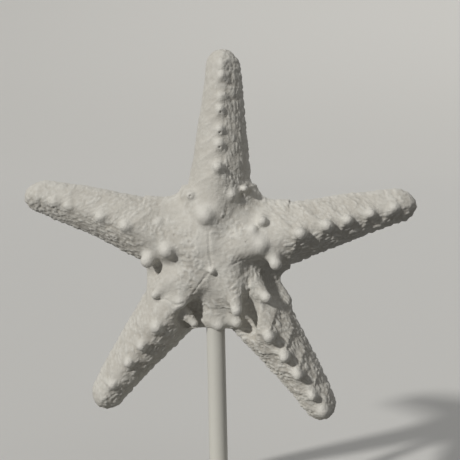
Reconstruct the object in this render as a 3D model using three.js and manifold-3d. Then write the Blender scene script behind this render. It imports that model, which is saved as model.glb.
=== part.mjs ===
// A dried, white-painted knobby sea star, held upright on a round rod in a plain round foot.
// Millimetres, +Z up. The knobbed face looks along -Y, and the origin is on the ground under the middle.
import * as THREE from "three";
import { mergeVertices } from "three/addons/utils/BufferGeometryUtils.js";
import Module from "manifold-3d";

// Stand
const ROD_DIAMETER = 9.5;
const ROD_IN_STAR = 14;
const ROD_IN_BASE = 12;
const BASE_DIAMETER = 90;
const BASE_HEIGHT = 16;
const BASE_EDGE_ROUND = 4;
const CENTRE_HEIGHT = 138;
const GAP = 0.3;

// The star's own frame: x to the right, y towards the top arm, z out of the knobbed face.
// The flat underside is z = 0, and the middle of the disc is the origin.
const ROD_DEPTH_IN_STAR = 6.5;
const DISC_LOWER_EDGE = -34;

// An arm's width and height grow evenly from the tip, which is round.
const TIP_ROUND = 10;
const TIP_HALF_WIDTH = 8.5;
const HALF_WIDTH_GROWTH = 0.125;
const HEIGHT_PER_HALF_WIDTH = 1.3;
const MARGIN_LEVEL = 0.32;
const MARGIN_FADE = 3;
const ROOF_POWER = 1.6;
const BOW_START = 45;
const SHOULDER = 44;
const ROOT_START = 18;
const ROOT_ROUND = 24;

// heading: degrees from +x. reach: centre to tip. bow: how far the midline curves to the left of the chord.
// crest: knobs along the ridge as [distance from the centre, rise above the ridge, base radius, tip radius].
const ARMS = [
  {
    heading: 86.5,
    reach: 107.6,
    bow: -1.3,
    crest: [
      [48.9, 5, 4.4, 2.8],
      [59.9, 3, 3.4, 2.1],
      [67.2, 3, 3.2, 1.9],
      [77, 3, 3, 1.9],
      [83.3, 1.5, 2.4, 1.4],
      [93.5, 2.5, 2.8, 1.8],
      [99.4, 1.5, 2.6, 1.6],
    ],
  },
  {
    heading: 159.45,
    reach: 103.5,
    bow: -4.2,
    crest: [
      [46.3, 3.5, 5, 2.6],
      [59.8, 2.5, 4.4, 2.2],
      [77.9, 1.2, 2.8, 1.6],
      [85.7, 1, 2.6, 1.5],
    ],
  },
  {
    heading: 230.4,
    reach: 98.5,
    bow: -2.4,
    crest: [
      [41.1, 4, 5, 2.6],
      [54, 4, 4.8, 2.4],
      [66.1, 3.6, 4.4, 2.2],
      [81.5, 2.4, 3.6, 2],
    ],
  },
  {
    heading: 304.9,
    reach: 100,
    bow: 3,
    crest: [
      [44.4, 7, 5.4, 2.9],
      [57.5, 6, 5, 2.7],
      [69.3, 5.4, 4.6, 2.5],
      [83.1, 4, 4.2, 2.5],
      [93.5, 2.4, 4.2, 3],
    ],
  },
  {
    heading: 16.2,
    reach: 105.9,
    bow: 3.3,
    crest: [
      [46.6, 7, 5.8, 3],
      [60, 5.4, 5, 2.6],
      [70.5, 4.4, 4.6, 2.4],
      [82.2, 3.4, 4, 2.2],
      [93.9, 2, 3.2, 1.8],
    ],
  },
];
const ARM_BLEND = 8;
const CREST_BLEND = 3;
// Each crest knob throws a low ridge back down either flank.
const WING_BACK = 7;
const WING_OUT = 0.55;
const WING_DROP = 0.62;
const WING_RADIUS_SHARE = 0.8;
const CREST_KNOB_LEAN = 1;
// The plates of an arm overlap like slates: each rises towards its knob and drops behind it,
// with edges that sweep back down both flanks.
const PLATE = { start: 30, sweep: 0.7, riseShare: 0.3, curve: 1.7, edge: 1.3 };

// The disc: a low wide mound, a higher boss in its middle, and ridges from the boss into each arm.
const MOUND = { centre: [2, 2.5], radius: 34.5, height: 11, power: 2.4 };
const BOSS = { centre: [0, 5], radius: 22, height: 20, power: 2.2 };
const DISC_BLEND = 4;
const RADIAL_RIDGE = {
  start: 12,
  end: 44,
  startHeight: 13,
  endHeight: 12.5,
  startRadius: 7.5,
  endRadius: 5.5,
};
// Plateaus are flattened pebbles. turn: degrees in the plane of the disc. lean: degrees, towards leanWay.
const PLATEAUS = [
  { middle: [-14.5, -1.5, 14.5], halfSizes: [11, 14, 6.5], turn: -35, leanWay: -35, lean: 8 },
  { middle: [14.5, 10.5, 16.5], halfSizes: [13.5, 9.5, 6], turn: -8, leanWay: -40, lean: 8 },
];
const PLATEAU_BLEND = 2.5;
// Troughs between them, as [start, end, start radius, end radius].
const TROUGHS = [
  [[20, 36, 22], [6, 16, 27], 6, 6],
  [[-31, -3, 14], [-19, 1, 23], 4.5, 4.5],
  [[-5, -18, 20], [-11, -27, 15], 4, 7.5],
  [[17, 0, 24.5], [36, -9, 12], 5, 9],
  [[17.5, -16, 20], [16, -33, 14], 4.5, 6],
];
const TROUGH_BLEND = 4;
// A low web lies between the two lower ridges, over the troughs.
const WEB = { middle: [2, -10.5, 12], halfSizes: [15, 10.5, 5.5], turn: 0, leanWay: -90, lean: -6 };
// Disc knobs as [base, tip, base radius, tip radius].
const DISC_KNOBS = [
  [[0, -0.5, 18], [0.2, -1.8, 22.5], 4, 1.9],
  [[-4.5, 29, 12], [-2.6, 25.6, 20.2], 9, 4.2],
  [[2.5, 38, 11], [10.9, 35.7, 17.4], 7, 2.6],
  [[16.2, 38.3, 9], [16.9, 38.4, 15.5], 4.4, 1.8],
  [[-10.5, 35, 11], [-10.1, 35.5, 16], 5, 2.3],
  [[-21.5, 8, 12], [-22.3, 8, 21.4], 9, 3.4],
  [[-28, 11, 9], [-32.6, 2.6, 16.6], 7, 3.4],
  [[-26.7, 21.5, 10], [-26.9, 21.8, 15.8], 4.5, 2],
  [[-22, -8, 11], [-29.4, -15, 17], 7.5, 2],
  [[-13, -8, 12], [-16.2, -18.2, 18.5], 8, 2.6],
  [[-18.4, -22.4, 10.5], [-10.2, -30.3, 13.2], 5.5, 2.3],
  [[8, -1, 12], [12.3, -22, 23], 9.5, 2.8],
  [[1.5, -22, 7], [2.6, -31.3, 12], 7.5, 3],
  [[6, -24, 7], [11.6, -30, 13.6], 5.4, 2.4],
  [[17.5, -8, 9], [27.2, -16, 19.6], 9.5, 2.5],
  [[27.8, 12, 12], [32, 1, 18.8], 7, 3.3],
  [[18, 11, 14], [25, 10.6, 19.6], 7, 3.6],
  [[20.8, 18, 12], [21, 18.2, 18.3], 5, 2.2],
  [[25.6, 22, 10], [25.8, 22.3, 17.4], 6, 2.5],
];
// The collar of skin round the drilled hole, in the same form.
const ROD_COLLAR = [[0, -18, 7.5], [0, -28.3, 7.5], 6.9, 6.5];
const COLLAR_BLEND = 3;
const KNOB_FLARE = 1.8;
const KNOB_BLEND_SHARE = 0.4;

// Underside: a groove along each arm, and the mouth where they meet.
const GROOVE_HALF_WIDTH = 3;
const GROOVE_START = 3;
const GROOVE_END_SHORT = 14;
const MOUTH_RADIUS = 6.5;
const UNDERSIDE_ROUND = 3;
const GROOVE_ROUND = 1.6;
// The solid reaches the tops of the skin's grains.
const GRAIN_HEIGHT = 0.6;

// The mesh: the size of its grid, and how a point is settled onto the surface.
const CELL = 3.28;
const GRID_TOP = 42;
const FAINTEST = 0.01;
const SLOPE_STEP = 0.05;
const SETTLE_ROUNDS = 4;
const LEAST_STEEPNESS = 0.05;
const TINY = 1e-4;
const ROD_SIDES = 32;
const BASE_SIDES = 48;
const BASE_EDGE_STEPS = 4;
const BASE_FOOT_CHAMFER = 1;
const ROD_CHAMFER = 0.8;
const COLOURS = { star: 0xcbc9c1, rod: 0xc4c4ba, base: 0xc4c4ba };

const wasm = await Module();
wasm.setup();

// The smaller of two distances, rounded where they are within reach of each other.
function smoothMin(a, b, reach) {
  const overlap = Math.max(reach - Math.abs(a - b), 0) / reach;
  return Math.min(a, b) - (overlap * overlap * reach) / 4;
}

function smoothMax(a, b, reach) {
  return -smoothMin(-a, -b, reach);
}

// A cone with round ends and a side that flares towards its base.
function cone([base, tip, baseRadius, tipRadius]) {
  const axis = tip.map((value, i) => value - base[i]);
  const lengthSquared = axis[0] ** 2 + axis[1] ** 2 + axis[2] ** 2;
  return { base, axis, lengthSquared, baseRadius, tipRadius };
}

function coneDistance([x, y, z], { base, axis, lengthSquared, baseRadius, tipRadius }) {
  const fromX = x - base[0];
  const fromY = y - base[1];
  const fromZ = z - base[2];
  const along = (fromX * axis[0] + fromY * axis[1] + fromZ * axis[2]) / lengthSquared;
  const share = Math.min(Math.max(along, 0), 1);
  const radius = tipRadius + (baseRadius - tipRadius) * (1 - share) ** KNOB_FLARE;
  const outX = fromX - share * axis[0];
  const outY = fromY - share * axis[1];
  const outZ = fromZ - share * axis[2];
  return Math.sqrt(outX * outX + outY * outY + outZ * outZ) - radius;
}

// A mound whose widest level is a little above its flat underside.
function moundDistance([x, y, z], { centre, radius, height, power }) {
  const level = height * MARGIN_LEVEL;
  const rise = height - level;
  const outwards = Math.hypot(x - centre[0], y - centre[1]) / radius;
  const upwards = Math.abs(z - level) / rise;
  return ((outwards ** power + upwards ** power) ** (1 / power) - 1) * rise;
}

// A flattened egg, turned in the plane of the disc and then leant towards one side.
function pebble({ middle, halfSizes, turn, leanWay, lean }) {
  const way = THREE.MathUtils.degToRad(leanWay);
  const axis = new THREE.Vector3(-Math.sin(way), Math.cos(way), 0);
  const pose = new THREE.Quaternion().setFromAxisAngle(axis, -THREE.MathUtils.degToRad(lean));
  const up = new THREE.Vector3(0, 0, 1);
  pose.multiply(new THREE.Quaternion().setFromAxisAngle(up, THREE.MathUtils.degToRad(turn)));
  return { middle, halfSizes, back: pose.invert() };
}

function pebbleDistance(p, { middle, halfSizes, back }) {
  const local = new THREE.Vector3(...p).sub(new THREE.Vector3(...middle)).applyQuaternion(back);
  const near = Math.hypot(...local.toArray().map((value, i) => value / halfSizes[i]));
  const steep = Math.hypot(...local.toArray().map((value, i) => value / halfSizes[i] ** 2));
  return (near * (near - 1)) / Math.max(steep, TINY);
}

// Half the arm's width at a distance from its tip, where the round end is left out.
function halfWidth(fromTip) {
  return TIP_HALF_WIDTH + HALF_WIDTH_GROWTH * (Math.max(fromTip, TIP_ROUND) - TIP_ROUND);
}

// The ridge's height, which grows with the width as far as the shoulder.
function armHeight(arm, fromTip) {
  return HEIGHT_PER_HALF_WIDTH * halfWidth(Math.min(fromTip, arm.reach - SHOULDER));
}

function midline(arm, along) {
  return arm.bow * (1 - ((along - BOW_START) / (arm.reach - BOW_START)) ** 2);
}

// How far the overlapping plates lift the skin.
function plateRise(arm, along, across, half) {
  const swept = along + PLATE.sweep * Math.abs(across);
  const flank = Math.max(1 - (across / half) ** 2, 0);
  let start = PLATE.start;
  for (const [place, knobRise] of arm.crest) {
    const lift = knobRise * PLATE.riseShare * flank;
    const end = place + PLATE.edge;
    if (swept > start && swept <= place) {
      return lift * ((swept - start) / (place - start)) ** PLATE.curve;
    }
    if (swept > place && swept < end) {
      return (lift * (end - swept)) / PLATE.edge;
    }
    start = end;
  }
  return 0;
}

function armDistance([x, y, z], arm) {
  const along = x * arm.cos + y * arm.sin;
  const across = y * arm.cos - x * arm.sin - midline(arm, along);
  const fromTip = arm.reach - along;
  const half = halfWidth(fromTip);
  const level = armHeight(arm, fromTip) * MARGIN_LEVEL;
  const rise = armHeight(arm, fromTip) - level;
  const side = (Math.abs(across) / half) ** ROOF_POWER;
  const roof = (Math.abs(z - level) / rise) ** ROOF_POWER;
  const section = (side + roof) ** (1 / ROOF_POWER);
  const tipEnd = Math.max(TIP_ROUND - fromTip, 0) / TIP_ROUND;
  const rootEnd = Math.max(ROOT_START - along, 0) / ROOT_ROUND;
  const above = THREE.MathUtils.clamp((z - level) / MARGIN_FADE, 0, 1);
  return (Math.hypot(section, tipEnd, rootEnd) - 1) * rise - above * plateRise(arm, along, across, half);
}

// A point of the arm given along and across it.
function onArm(arm, along, across, z) {
  const side = midline(arm, along) + across;
  return [along * arm.cos - side * arm.sin, along * arm.sin + side * arm.cos, z];
}

// The ridge's height, which falls to the margin over the round tip.
function ridgeHeight(arm, along) {
  const fromTip = arm.reach - along;
  const full = armHeight(arm, fromTip);
  const tipEnd = Math.max(TIP_ROUND - fromTip, 0) / TIP_ROUND;
  return full * (MARGIN_LEVEL + (1 - MARGIN_LEVEL) * Math.sqrt(1 - tipEnd ** 2));
}

// A crest knob and its two wings, as cones.
function crestCones(arm, [along, rise, baseRadius, tipRadius]) {
  const height = ridgeHeight(arm, along);
  const half = halfWidth(arm.reach - along);
  const foot = onArm(arm, along, 0, height - baseRadius);
  const top = onArm(arm, along + CREST_KNOB_LEAN, 0, height + rise - tipRadius);
  const knob = [foot, top, baseRadius, tipRadius];
  const wings = [-1, 1].map((side) => {
    const root = onArm(arm, along - WING_BACK, side * half * WING_OUT, height * WING_DROP);
    return [root, foot, tipRadius, baseRadius * WING_RADIUS_SHARE];
  });
  return [knob, ...wings].map(cone);
}

function radialRidge(arm) {
  const { start, end, startHeight, endHeight, startRadius, endRadius } = RADIAL_RIDGE;
  return cone([onArm(arm, start, 0, startHeight), onArm(arm, end, 0, endHeight), startRadius, endRadius]);
}

function groove(arm) {
  const start = onArm(arm, GROOVE_START, 0, 0);
  const end = onArm(arm, arm.reach - GROOVE_END_SHORT, 0, 0);
  return cone([start, end, GROOVE_HALF_WIDTH, GROOVE_HALF_WIDTH / 2]);
}

for (const arm of ARMS) {
  arm.cos = Math.cos(THREE.MathUtils.degToRad(arm.heading));
  arm.sin = Math.sin(THREE.MathUtils.degToRad(arm.heading));
}
const RIDGES = ARMS.map(radialRidge);
const CREST_CONES = ARMS.flatMap((arm) => arm.crest.flatMap((knob) => crestCones(arm, knob)));
const GROOVES = ARMS.map(groove);
const KNOBS = DISC_KNOBS.map(cone);
const PEBBLES = PLATEAUS.map(pebble);
const WEB_PEBBLE = pebble(WEB);
const CUTS = TROUGHS.map(cone);
const COLLAR = cone(ROD_COLLAR);

// Distance to the star's surface: below zero inside it.
function starDistance(p) {
  let d = smoothMin(moundDistance(p, MOUND), moundDistance(p, BOSS), DISC_BLEND);
  for (const arm of ARMS) d = smoothMin(d, armDistance(p, arm), ARM_BLEND);
  for (const ridge of RIDGES) d = smoothMin(d, coneDistance(p, ridge), DISC_BLEND);
  for (const plateau of PEBBLES) d = smoothMin(d, pebbleDistance(p, plateau), PLATEAU_BLEND);
  for (const crest of CREST_CONES) d = smoothMin(d, coneDistance(p, crest), CREST_BLEND);
  for (const trough of CUTS) d = smoothMax(d, -coneDistance(p, trough), TROUGH_BLEND);
  d = smoothMin(d, pebbleDistance(p, WEB_PEBBLE), PLATEAU_BLEND);
  d = smoothMin(d, coneDistance(p, COLLAR), COLLAR_BLEND);
  for (const knob of KNOBS) d = smoothMin(d, coneDistance(p, knob), knob.baseRadius * KNOB_BLEND_SHARE);
  d = smoothMax(d - GRAIN_HEIGHT, -p[2], UNDERSIDE_ROUND);
  for (const cut of GROOVES) d = smoothMax(d, -coneDistance(p, cut), GROOVE_ROUND);
  return smoothMax(d, MOUTH_RADIUS - Math.hypot(...p), GROOVE_ROUND);
}

function gradient(distance, p) {
  return p.map((_, axis) => {
    const ahead = p.map((value, i) => (i === axis ? value + SLOPE_STEP : value));
    const behind = p.map((value, i) => (i === axis ? value - SLOPE_STEP : value));
    return (distance(ahead) - distance(behind)) / (2 * SLOPE_STEP);
  });
}

// Moves a point straight onto the surface, by no more than half a cell.
function settle(distance, start) {
  let p = start;
  for (let round = 0; round < SETTLE_ROUNDS; round += 1) {
    const g = gradient(distance, p);
    const steepness = g[0] ** 2 + g[1] ** 2 + g[2] ** 2;
    const move = distance(p) / Math.max(steepness, LEAST_STEEPNESS);
    p = p.map((value, i) => value - move * g[i]);
  }
  const limit = CELL / 2;
  return p.map((value, i) => THREE.MathUtils.clamp(value, start[i] - limit, start[i] + limit));
}

// Where a grid square has its two inside corners across a diagonal, the fainter of the outside ones goes
// inside, so that no edge of the mesh carries four faces. The inside only grows, so this comes to an end.
function clearSaddles(values, count, index) {
  const clearSquare = (corner, axis) => {
    const square = [[0, 0], [1, 0], [1, 1], [0, 1]].map(([a, b]) => {
      const place = [...corner];
      place[axis] += a;
      place[(axis + 1) % 3] += b;
      return index(...place);
    });
    const [a, b, c, d] = square.map((place) => values[place] < 0);
    if (a !== c || b !== d || a === b) return 0;
    const [first, second] = square.filter((place) => values[place] >= 0);
    const fainter = values[first] < values[second] ? first : second;
    values[fainter] = -Math.max(values[fainter], FAINTEST);
    return 1;
  };
  let changes = 1;
  while (changes > 0) {
    changes = 0;
    for (let k = 1; k < count[2] - 1; k += 1)
      for (let j = 1; j < count[1] - 1; j += 1)
        for (let i = 1; i < count[0] - 1; i += 1)
          for (const axis of [0, 1, 2]) changes += clearSquare([i, j, k], axis);
  }
}

// Meshes the surface of a distance function: one vertex in each grid cell that the surface crosses,
// and one quad across each grid edge that it crosses.
function surfaceMesh(distance, low, high) {
  const count = low.map((value, i) => Math.ceil((high[i] - value) / CELL) + 1);
  const index = (i, j, k) => (k * count[1] + j) * count[0] + i;
  const point = (i, j, k) => [low[0] + i * CELL, low[1] + j * CELL, low[2] + k * CELL];
  const values = new Float32Array(count[0] * count[1] * count[2]);
  for (let k = 0; k < count[2]; k += 1)
    for (let j = 0; j < count[1]; j += 1)
      for (let i = 0; i < count[0]; i += 1) {
        values[index(i, j, k)] = distance(point(i, j, k));
      }
  clearSaddles(values, count, index);

  const corners = [0, 1, 2, 3, 4, 5, 6, 7].map((n) => [n & 1, (n >> 1) & 1, (n >> 2) & 1]);
  const edges = [0, 1, 2, 3, 4, 5, 6, 7].flatMap((a) =>
    [1, 2, 4].filter((bit) => !(a & bit)).map((bit) => [a, a | bit]),
  );

  const vertexOf = new Map();
  const positions = [];
  for (let k = 0; k < count[2] - 1; k += 1)
    for (let j = 0; j < count[1] - 1; j += 1)
      for (let i = 0; i < count[0] - 1; i += 1) {
        const at = corners.map(([a, b, c]) => values[index(i + a, j + b, k + c)]);
        const crossed = edges.filter(([a, b]) => at[a] < 0 !== at[b] < 0);
        if (!crossed.length) continue;
        const middle = [0, 0, 0];
        for (const [a, b] of crossed) {
          const share = at[a] / (at[a] - at[b]);
          for (let axis = 0; axis < 3; axis += 1)
            middle[axis] += (corners[a][axis] * (1 - share) + corners[b][axis] * share) / crossed.length;
        }
        const start = point(i, j, k).map((value, axis) => value + middle[axis] * CELL);
        vertexOf.set(index(i, j, k), positions.length);
        positions.push(settle(distance, start));
      }

  const triangles = [];
  const apart = (a, b) => Math.hypot(...positions[a].map((value, i) => value - positions[b][i]));
  const addQuad = (quad, turned) => {
    const [a, b, c, d] = turned ? [...quad].reverse() : quad;
    const halves = apart(a, c) < apart(b, d) ? [a, b, c, a, c, d] : [a, b, d, b, c, d];
    triangles.push(...halves);
  };
  for (let k = 1; k < count[2] - 1; k += 1)
    for (let j = 1; j < count[1] - 1; j += 1)
      for (let i = 1; i < count[0] - 1; i += 1)
        for (let axis = 0; axis < 3; axis += 1) {
          const next = [i, j, k];
          next[axis] += 1;
          const here = values[index(i, j, k)] < 0;
          if (here === values[index(...next)] < 0) continue;
          const [u, v] = [(axis + 1) % 3, (axis + 2) % 3];
          const cells = [[0, 0], [-1, 0], [-1, -1], [0, -1]].map(([a, b]) => {
            const cell = [i, j, k];
            cell[u] += a;
            cell[v] += b;
            return vertexOf.get(index(...cell));
          });
          addQuad(cells, !here);
        }

  const geometry = new THREE.BufferGeometry();
  geometry.setAttribute("position", new THREE.Float32BufferAttribute(positions.flat(), 3));
  geometry.setIndex(triangles);
  return geometry;
}

// three.js geometry to a solid that can be cut, and back.
function solid(geometry) {
  const bare = geometry.clone();
  bare.deleteAttribute("normal");
  bare.deleteAttribute("uv");
  const merged = mergeVertices(bare, TINY);
  const vertProperties = new Float32Array(merged.attributes.position.array);
  const triVerts = new Uint32Array(merged.index.array);
  return new wasm.Manifold(new wasm.Mesh({ numProp: 3, vertProperties, triVerts }));
}

function geometryOf(made) {
  const mesh = made.getMesh();
  const geometry = new THREE.BufferGeometry();
  geometry.setAttribute("position", new THREE.BufferAttribute(mesh.vertProperties, 3));
  geometry.setIndex(new THREE.BufferAttribute(mesh.triVerts, 1));
  geometry.computeVertexNormals();
  return geometry;
}

function starGeometry() {
  const widest = Math.max(...ARMS.map((arm) => arm.reach)) + 2 * CELL;
  const body = surfaceMesh(starDistance, [-widest, -widest, -2 * CELL], [widest, widest, GRID_TOP]);
  const holeRadius = ROD_DIAMETER / 2 + GAP;
  const hole = new THREE.CylinderGeometry(holeRadius, holeRadius, 2 * ROD_IN_STAR, ROD_SIDES);
  hole.translate(0, DISC_LOWER_EDGE, ROD_DEPTH_IN_STAR);
  return geometryOf(solid(body).subtract(solid(hole)));
}

// Turned pieces: the profile runs from the axis out and back to the axis.
function turned(profile, segments) {
  const geometry = new THREE.LatheGeometry(
    profile.map(([radius, height]) => new THREE.Vector2(radius, height)),
    segments,
  );
  return geometry.rotateX(Math.PI / 2);
}

function rodGeometry() {
  const radius = ROD_DIAMETER / 2;
  const foot = BASE_HEIGHT - ROD_IN_BASE + GAP;
  const top = CENTRE_HEIGHT + DISC_LOWER_EDGE + ROD_IN_STAR - GAP;
  return turned(
    [
      [0, foot],
      [radius - ROD_CHAMFER, foot],
      [radius, foot + ROD_CHAMFER],
      [radius, top - ROD_CHAMFER],
      [radius - ROD_CHAMFER, top],
      [0, top],
    ],
    ROD_SIDES,
  );
}

function baseGeometry() {
  const radius = BASE_DIAMETER / 2;
  const round = BASE_EDGE_ROUND;
  const hole = ROD_DIAMETER / 2 + GAP;
  const edge = Array.from({ length: BASE_EDGE_STEPS + 1 }, (_, step) => {
    const angle = (step / BASE_EDGE_STEPS) * (Math.PI / 2);
    return [radius - round + round * Math.cos(angle), BASE_HEIGHT - round + round * Math.sin(angle)];
  });
  const profile = [
    [0, 0],
    [radius - BASE_FOOT_CHAMFER, 0],
    [radius, BASE_FOOT_CHAMFER],
    ...edge,
    [hole, BASE_HEIGHT],
    [hole, BASE_HEIGHT - ROD_IN_BASE],
    [0, BASE_HEIGHT - ROD_IN_BASE],
  ];
  return turned(profile, BASE_SIDES);
}

function finish(colour, roughness) {
  return new THREE.MeshStandardMaterial({ color: colour, roughness, metalness: 0 });
}

function named(name, geometry, material) {
  const mesh = new THREE.Mesh(geometry, material);
  mesh.name = name;
  return mesh;
}

const object = new THREE.Group();
const star = named("starfish", starGeometry(), finish(COLOURS.star, 0.9));
star.rotation.x = Math.PI / 2;
star.position.set(0, ROD_DEPTH_IN_STAR, CENTRE_HEIGHT);
object.add(star);
object.add(named("stand_rod", rodGeometry(), finish(COLOURS.rod, 0.45)));
object.add(named("stand_base", baseGeometry(), finish(COLOURS.base, 0.45)));

export default object;
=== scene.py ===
# %% [markdown]
# A dried starfish, painted white, on a rod stand
#
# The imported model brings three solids: the starfish, the rod that it sits on and the round foot.
# This script keeps their places and sizes and makes what the eye sees: the fine skin of the
# starfish, the smooth rod and foot, and the paint on each of them.
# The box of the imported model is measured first, so that the dressed model can be held against it.

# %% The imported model
import math

import bmesh
import bpy
import numpy as np
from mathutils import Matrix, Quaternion, Vector


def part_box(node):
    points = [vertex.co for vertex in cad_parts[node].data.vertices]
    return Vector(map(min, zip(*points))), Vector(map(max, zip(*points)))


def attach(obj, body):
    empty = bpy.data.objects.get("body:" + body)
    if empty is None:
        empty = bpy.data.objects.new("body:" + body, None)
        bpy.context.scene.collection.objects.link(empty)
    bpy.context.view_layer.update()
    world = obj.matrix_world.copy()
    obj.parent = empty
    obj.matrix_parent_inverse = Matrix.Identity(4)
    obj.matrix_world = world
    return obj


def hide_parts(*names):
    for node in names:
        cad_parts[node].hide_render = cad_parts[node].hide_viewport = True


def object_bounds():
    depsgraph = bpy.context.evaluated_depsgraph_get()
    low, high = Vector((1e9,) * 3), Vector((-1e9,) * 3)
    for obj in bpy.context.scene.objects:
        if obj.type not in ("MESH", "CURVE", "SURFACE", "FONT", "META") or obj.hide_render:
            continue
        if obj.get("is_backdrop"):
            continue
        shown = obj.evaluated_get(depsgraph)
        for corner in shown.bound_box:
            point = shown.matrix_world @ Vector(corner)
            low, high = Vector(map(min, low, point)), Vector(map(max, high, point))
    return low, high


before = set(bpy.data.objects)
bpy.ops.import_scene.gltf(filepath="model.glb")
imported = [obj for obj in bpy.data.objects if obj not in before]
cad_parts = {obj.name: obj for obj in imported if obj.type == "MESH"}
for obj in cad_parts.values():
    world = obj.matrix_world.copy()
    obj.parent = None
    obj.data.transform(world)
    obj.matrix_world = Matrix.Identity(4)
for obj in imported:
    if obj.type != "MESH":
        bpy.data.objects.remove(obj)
packed_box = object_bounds()
MM = 0.001
print("packed nodes:", sorted(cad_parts))

# %% [markdown]
# The camera
#
# The photograph looks at the knobbed face from a little above and a little to the right, with a
# slight roll. A camera could be placed by hand, but it is steadier to name the point it looks at,
# the two angles and the distance, and to work out the lens from the size of a pixel at that point.

# %% Camera
FRAME_PIXELS = 460
PIXEL_AT_STAR = 0.51 * MM
CAMERA_DISTANCE = 0.65
CAMERA_AZIMUTH = math.radians(5)
CAMERA_ELEVATION = math.radians(8)
CAMERA_ROLL = math.radians(1.2)
LOOK_AT = Vector((8.12, 3.47, 153.99)) * MM

back = Vector(
    (
        math.sin(CAMERA_AZIMUTH) * math.cos(CAMERA_ELEVATION),
        -math.cos(CAMERA_AZIMUTH) * math.cos(CAMERA_ELEVATION),
        math.sin(CAMERA_ELEVATION),
    )
)
camera = bpy.data.objects.new("camera", bpy.data.cameras.new("camera"))
camera.location = LOOK_AT + back * CAMERA_DISTANCE
camera.rotation_mode = "QUATERNION"
camera.rotation_quaternion = back.to_track_quat("Z", "Y") @ Quaternion((0, 0, 1), -CAMERA_ROLL)
camera.data.sensor_width = 36
camera.data.lens = 36 * CAMERA_DISTANCE / (FRAME_PIXELS * PIXEL_AT_STAR)
camera.data.clip_start = 0.05
bpy.context.scene.collection.objects.link(camera)
bpy.context.scene.camera = camera
print(f"lens {camera.data.lens:.1f} mm, {CAMERA_DISTANCE} m away")

# %% [markdown]
# Shader sums as Python
#
# A paint that varies over a surface is a chain of nodes. Wiring them one at a time hides the sum
# that they make, so this class wraps a socket: an expression such as 1 - mask * 0.4 adds the Math
# nodes by itself, and one method makes every other kind of node.


# %% Socket class
class Wire:
    def __init__(self, tree, socket=None):
        self.tree = tree
        self.socket = socket

    def node(self, kind, settings=None, inputs=None, output=0):
        """Adds a node of this kind, sets it up, links or fills its inputs and returns an output."""
        made = self.tree.nodes.new("ShaderNode" + kind)
        for name, value in (settings or {}).items():
            setattr(made, name, value)
        for name, value in (inputs or {}).items():
            if isinstance(value, Wire):
                self.tree.links.new(value.socket, made.inputs[name])
            else:
                made.inputs[name].default_value = value
        return Wire(self.tree, made.outputs[output])

    def math(self, operation, first, second):
        return self.node("Math", {"operation": operation}, {0: first, 1: second})

    def __add__(self, other):
        return self.math("ADD", self, other)

    def __radd__(self, other):
        return self.math("ADD", other, self)

    def __sub__(self, other):
        return self.math("SUBTRACT", self, other)

    def __rsub__(self, other):
        return self.math("SUBTRACT", other, self)

    def __mul__(self, other):
        return self.math("MULTIPLY", self, other)

    def __rmul__(self, other):
        return self.math("MULTIPLY", other, self)

    def clamped(self):
        return self.node("Clamp", None, {"Value": self})

    def mixed(self, first, second):
        """This value as the factor between two colours."""
        settings = {"data_type": "RGBA"}
        return self.node("Mix", settings, {0: self, 6: first, 7: second}, output=2)


def new_material(name):
    material = bpy.data.materials.new(name)
    material.use_nodes = True
    tree = material.node_tree
    shader = tree.nodes["Principled BSDF"]
    return material, Wire(tree), shader


def connect(wire, shader, name):
    wire.tree.links.new(wire.socket, shader.inputs[name])


print("shader sums ready")

# %% [markdown]
# The studio
#
# The object stands on a plain pale floor that curves up all round into a bowl, so that every
# camera angle sees the same quiet ground and never an edge. The bowl is a turned profile.


# %% Floor and light
def turned(name, profile, segments):
    """A surface of revolution round the Z axis from a list of (radius, height) in metres."""
    mesh = bpy.data.meshes.new(name)
    shape = bmesh.new()
    line = [shape.verts.new((radius, 0, height)) for radius, height in profile]
    edges = [shape.edges.new(pair) for pair in zip(line, line[1:])]
    bmesh.ops.spin(
        shape,
        geom=line + edges,
        axis=(0, 0, 1),
        cent=(0, 0, 0),
        steps=segments,
        angle=2 * math.pi,
    )
    bmesh.ops.remove_doubles(shape, verts=shape.verts, dist=1e-6)
    bmesh.ops.recalc_face_normals(shape, faces=shape.faces)
    for face in shape.faces:
        face.smooth = True
    shape.to_mesh(mesh)
    shape.free()
    made = bpy.data.objects.new(name, mesh)
    bpy.context.scene.collection.objects.link(made)
    return made


FLOOR_RADIUS = 1.6
BOWL_ROUND = 1.2
BOWL_TOP = 2.0
BOWL_STEPS = 16
BOWL_SIDES = 96
bowl_profile = [(0, 0), (FLOOR_RADIUS, 0)]
for step in range(1, BOWL_STEPS + 1):
    turn = step / BOWL_STEPS * math.pi / 2
    bowl_profile.append(
        (FLOOR_RADIUS + BOWL_ROUND * math.sin(turn), BOWL_ROUND * (1 - math.cos(turn)))
    )
bowl_profile.append((FLOOR_RADIUS + BOWL_ROUND, BOWL_TOP))
floor = turned("studio_bowl", bowl_profile, BOWL_SIDES)
floor.visible_shadow = False
floor.visible_diffuse = False
floor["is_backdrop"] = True

FLOOR_DARK = (0.60, 0.595, 0.575, 1)
FLOOR_PALE = (0.62, 0.615, 0.595, 1)
bowl_paint, wire, shader = new_material("bowl_paint")
haze = wire.node("TexNoise", None, {"Scale": 1.5, "Detail": 2.0})
tone = haze.mixed(FLOOR_DARK, FLOOR_PALE)
connect(tone, shader, "Base Color")
shader.inputs["Roughness"].default_value = 0.95
floor.data.materials.append(bowl_paint)


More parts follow.
